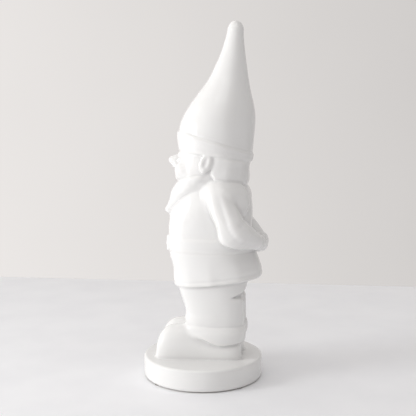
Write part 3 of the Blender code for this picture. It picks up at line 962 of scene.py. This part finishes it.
def mattMaterial(name, look):
    # A dull surface that is mottled or fibrous by one noise.
    made, nodes, links, shader = material(name)
    where = nodes.new("ShaderNodeTexCoord")
    grain = noise(nodes, links, where.outputs["Object"], *look["grain"])
    links.new(ramp(nodes, links, grain, look["stops"]), shader.inputs["Base Color"])
    shader.inputs["Roughness"].default_value = look["roughness"]
    return made


glaze = glazeMaterial()
bisque = mattMaterial("bareBisque", bisqueLook)
felt = mattMaterial("greyFelt", feltLook)

near = settle(distances())
for k, name in enumerate(order):
    others = np.delete(near, k, axis=0).min(axis=0)
    piece = buildPiece(name, (near[k] - others).astype(np.float64))
    piece.data.materials.append(glaze)
    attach(piece, "root")
    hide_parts(name)
    print("piece:", name, len(piece.data.polygons), "faces")

plinth = {
    # Half-section of the foot: radius and height in mm, and how round each corner is.
    # The points beside the axis and the rim keep the shading of the flats even.
    "section": (
        (0.02, 1.8, 0.0), (2.0, 1.8, 0.0), (59.0, 1.8, 0.0), (59.0, 1.3, 0.2),
        (66.6, 1.3, 0.4), (67.6, 3.4, 1.4), (68.0, 12.0, 6.0), (67.9, place["plinthTop"], 2.8),
        (64.4, place["plinthTop"], 0.0), (2.0, place["plinthTop"], 0.0),
        (0.02, place["plinthTop"], 0.0),
    ),
    "turns": 160,
    "bareBelow": 1.75,
}


def treeFor(name, inputs):
    # A node tree with geometry in and out, and one named input for each size or material.
    tree = bpy.data.node_groups.new(name, "GeometryNodeTree")
    tree.interface.new_socket("Geometry", in_out="INPUT", socket_type="NodeSocketGeometry")
    tree.interface.new_socket("Geometry", in_out="OUTPUT", socket_type="NodeSocketGeometry")
    for label, kind in inputs.items():
        tree.interface.new_socket(label, in_out="INPUT", socket_type="NodeSocket" + kind)
    return tree, tree.nodes, tree.links


def applied(name, mesh, tree, values):
    # Runs a node tree on a mesh and returns an object that holds the result.
    source = bpy.data.objects.new(name + "Source", mesh)
    bpy.context.scene.collection.objects.link(source)
    modifier = source.modifiers.new("shape", "NODES")
    modifier.node_group = tree
    for item in tree.interface.items_tree:
        if item.in_out == "INPUT" and item.name in values:
            modifier[item.identifier] = values[item.name]
    graph = bpy.context.evaluated_depsgraph_get()
    made = bpy.data.meshes.new_from_object(source.evaluated_get(graph))
    source.modifiers.clear()
    bpy.data.objects.remove(source)
    piece = bpy.data.objects.new(name, made)
    bpy.context.scene.collection.objects.link(piece)
    return piece


def makePlinth():
    section = plinth["section"]
    mesh = bpy.data.meshes.new("plinthSection")
    count = len(section)
    # The turning ring sets the section's Y downwards.
    outline = [(r * mm, -z * mm, 0) for r, z, _ in section]
    mesh.from_pydata(outline, [(k, (k + 1) % count) for k in range(count)], [])
    mesh.attributes.new("roundness", "FLOAT", "POINT").data.foreach_set(
        "value", [corner * mm for _, _, corner in section]
    )
    tree, nodes, links = treeFor(
        "lathe", {"Turns": "Int", "Glaze": "Material", "Bare": "Material", "Bare below": "Float"}
    )
    into, out = nodes.new("NodeGroupInput"), nodes.new("NodeGroupOutput")
    curve = nodes.new("GeometryNodeMeshToCurve")
    links.new(into.outputs["Geometry"], curve.inputs["Mesh"])
    corner = nodes.new("GeometryNodeInputNamedAttribute")
    corner.inputs["Name"].default_value = "roundness"
    rounded = nodes.new("GeometryNodeFilletCurve")
    rounded.mode = "POLY"
    rounded.inputs["Count"].default_value = 10
    rounded.inputs["Limit Radius"].default_value = True
    links.new(curve.outputs["Curve"], rounded.inputs["Curve"])
    links.new(corner.outputs["Attribute"], rounded.inputs["Radius"])
    ring = nodes.new("GeometryNodeCurvePrimitiveCircle")
    ring.inputs["Radius"].default_value = 0.00001
    links.new(into.outputs["Turns"], ring.inputs["Resolution"])
    turned = nodes.new("GeometryNodeCurveToMesh")
    links.new(ring.outputs["Curve"], turned.inputs["Curve"])
    links.new(rounded.outputs["Curve"], turned.inputs["Profile Curve"])
    merged = nodes.new("GeometryNodeMergeByDistance")
    merged.inputs["Distance"].default_value = 0.00002
    links.new(turned.outputs["Mesh"], merged.inputs["Geometry"])
    smooth = nodes.new("GeometryNodeSetShadeSmooth")
    links.new(merged.outputs["Geometry"], smooth.inputs["Geometry"])
    joined = nodes.new("GeometryNodeRealizeInstances")
    links.new(smooth.outputs["Geometry"], joined.inputs["Geometry"])
    glazed = nodes.new("GeometryNodeSetMaterial")
    links.new(joined.outputs["Geometry"], glazed.inputs["Geometry"])
    links.new(into.outputs["Glaze"], glazed.inputs["Material"])
    point = nodes.new("GeometryNodeInputPosition")
    axes = nodes.new("ShaderNodeSeparateXYZ")
    links.new(point.outputs["Position"], axes.inputs["Vector"])
    low = nodes.new("FunctionNodeCompare")
    low.data_type = "FLOAT"
    low.operation = "LESS_THAN"
    links.new(axes.outputs["Z"], low.inputs["A"])
    links.new(into.outputs["Bare below"], low.inputs["B"])
    bare = nodes.new("GeometryNodeSetMaterial")
    links.new(glazed.outputs["Geometry"], bare.inputs["Geometry"])
    links.new(low.outputs["Result"], bare.inputs["Selection"])
    links.new(into.outputs["Bare"], bare.inputs["Material"])
    links.new(bare.outputs["Geometry"], out.inputs["Geometry"])
    piece = applied("plinthGlazed", mesh, tree, {
        "Turns": plinth["turns"], "Glaze": glaze, "Bare": bisque, "Bare below": plinth["bareBelow"] * mm,
    })
    outward(piece.data)
    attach(piece, "root")
    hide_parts("plinth")


def outward(mesh):
    mesh.calc_loop_triangles()
    volume = sum(
        mesh.vertices[t.vertices[0]].co.dot(
            mesh.vertices[t.vertices[1]].co.cross(mesh.vertices[t.vertices[2]].co)
        )
        for t in mesh.loop_triangles
    )
    if volume < 0:
        mesh.flip_normals()


pads = {"ring": 63.2, "radius": 3.6, "height": 1.32}


def makePads():
    tree, nodes, links = treeFor("padRing", {
        "Ring radius": "Float", "Pad radius": "Float", "Pad height": "Float", "Felt": "Material",
    })
    into, out = nodes.new("NodeGroupInput"), nodes.new("NodeGroupOutput")
    ring = nodes.new("GeometryNodeMeshCircle")
    ring.inputs["Vertices"].default_value = 4
    links.new(into.outputs["Ring radius"], ring.inputs["Radius"])
    pad = nodes.new("GeometryNodeMeshCylinder")
    pad.inputs["Vertices"].default_value = 48
    links.new(into.outputs["Pad radius"], pad.inputs["Radius"])
    links.new(into.outputs["Pad height"], pad.inputs["Depth"])
    spread = nodes.new("GeometryNodeInstanceOnPoints")
    links.new(ring.outputs["Mesh"], spread.inputs["Points"])
    links.new(pad.outputs["Mesh"], spread.inputs["Instance"])
    half = nodes.new("ShaderNodeMath")
    half.operation = "MULTIPLY"
    half.inputs[1].default_value = 0.5
    links.new(into.outputs["Pad height"], half.inputs[0])
    lift = nodes.new("ShaderNodeCombineXYZ")
    links.new(half.outputs["Value"], lift.inputs["Z"])
    moved = nodes.new("GeometryNodeTransform")
    moved.inputs["Rotation"].default_value = (0, 0, math.radians(45))
    links.new(spread.outputs["Instances"], moved.inputs["Geometry"])
    links.new(lift.outputs["Vector"], moved.inputs["Translation"])
    joined = nodes.new("GeometryNodeRealizeInstances")
    links.new(moved.outputs["Geometry"], joined.inputs["Geometry"])
    dressed = nodes.new("GeometryNodeSetMaterial")
    links.new(joined.outputs["Geometry"], dressed.inputs["Geometry"])
    links.new(into.outputs["Felt"], dressed.inputs["Material"])
    links.new(dressed.outputs["Geometry"], out.inputs["Geometry"])
    piece = applied("feltPads", bpy.data.meshes.new("padSeed"), tree, {
        "Ring radius": pads["ring"] * mm, "Pad radius": pads["radius"] * mm,
        "Pad height": pads["height"] * mm, "Felt": felt,
    })
    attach(piece, "root")
    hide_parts("foot_pad_1", "foot_pad_2", "foot_pad_3", "foot_pad_4")


makePlinth()
makePads()
print("plinth and pads made")


def makeFloor():
    mesh = bpy.data.meshes.new("floorSheet")
    edge, size = floorLook["edge"], floorLook["size"]
    corners = [(edge, -size, 0), (size, -size, 0), (size, size, 0), (edge, size, 0)]
    mesh.from_pydata(corners, [], [(0, 1, 2, 3)])
    floor = bpy.data.objects.new("floor", mesh)
    bpy.context.scene.collection.objects.link(floor)
    floor.data.materials.append(mattMaterial("floorPaint", floorLook))


makeFloor()

lampTint = (0.99, 1.0, 0.995)
light = {
    # Where, width and height, watts, what it points at, whether the glaze mirrors it
    "key": ((0.65, -1.36, 0.40), (0.5, 1.2), 12.8, (0, 0, 0.08), False),
    "window": ((0.55, -1.36, 0.42), (0.34, 0.52), 2.2, (0, 0, 0.2), True),
    "ceiling": ((0.60, 1.10, 2.30), (1.4, 1.4), 5.4, (0, 0, 0.1), False),
    "overhead": ((0.80, 0.0, 1.40), (0.9, 0.35), 1.1, (0, 0.02, 0.33), True),
}


def addLight(name, at, size, watts, target, mirrored):
    lamp = bpy.data.lights.new(name, "AREA")
    lamp.shape = "RECTANGLE"
    lamp.size, lamp.size_y = size
    lamp.energy = watts
    lamp.color = lampTint
    holder = bpy.data.objects.new(name + "Light", lamp)
    holder.location = at
    holder.rotation_euler = (Vector(target) - Vector(at)).to_track_quat("-Z", "Y").to_euler()
    holder.visible_glossy = mirrored
    bpy.context.scene.collection.objects.link(holder)


for name, settings in light.items():
    addLight(name, *settings)

room = {
    # Brightness of the wall's middle, and how it changes along each axis
    "middle": 0.66,
    "slopes": (-0.04, -0.31, -0.05),
    "tint": (1.0, 0.966, 0.945),
    # Scale and detail of the plaster's mottling, and how strong it is
    "plaster": (5.0, 5.0),
    "mottle": 0.03,
}


def makeRoom():
    world = bpy.data.worlds.new("paleRoom")
    bpy.context.scene.world = world
    world.use_nodes = True
    nodes, links = world.node_tree.nodes, world.node_tree.links
    background = nodes["Background"]
    way = nodes.new("ShaderNodeTexCoord")
    lean = nodes.new("ShaderNodeVectorMath")
    lean.operation = "DOT_PRODUCT"
    lean.inputs[1].default_value = room["slopes"]
    links.new(way.outputs["Generated"], lean.inputs[0])
    plaster = noise(nodes, links, way.outputs["Generated"], *room["plaster"])
    mottle = nodes.new("ShaderNodeMath")
    mottle.operation = "MULTIPLY_ADD"
    mottle.inputs[1].default_value = room["mottle"]
    mottle.inputs[2].default_value = room["middle"] - room["mottle"] / 2
    links.new(plaster, mottle.inputs[0])
    total = nodes.new("ShaderNodeMath")
    links.new(lean.outputs["Value"], total.inputs[0])
    links.new(mottle.outputs["Value"], total.inputs[1])
    background.inputs["Color"].default_value = (*room["tint"], 1)
    links.new(total.outputs["Value"], background.inputs["Strength"])


makeRoom()

shot = {"azimuth": 97.0, "distance": 0.775, "height": 0.2685, "down": 5.63, "aside": 0.41, "lens": 59.37}


def makeCamera():
    turn = math.radians(shot["azimuth"])
    aside, down = math.radians(shot["aside"]), math.radians(shot["down"])
    camera = bpy.data.objects.new("camera", bpy.data.cameras.new("camera"))
    camera.data.lens = shot["lens"]
    camera.data.sensor_width = 36.0
    camera.location = (shot["distance"] * math.sin(turn), -shot["distance"] * math.cos(turn), shot["height"])
    ahead = Vector((-math.sin(turn), math.cos(turn), 0))
    right = Vector((math.cos(turn), math.sin(turn), 0))
    look = (ahead * math.cos(aside) + right * math.sin(aside)) * math.cos(down)
    look.z = -math.sin(down)
    camera.rotation_euler = look.to_track_quat("-Z", "Y").to_euler()
    bpy.context.scene.collection.objects.link(camera)
    bpy.context.scene.camera = camera


makeCamera()
bpy.context.scene.view_settings.view_transform = "Standard"
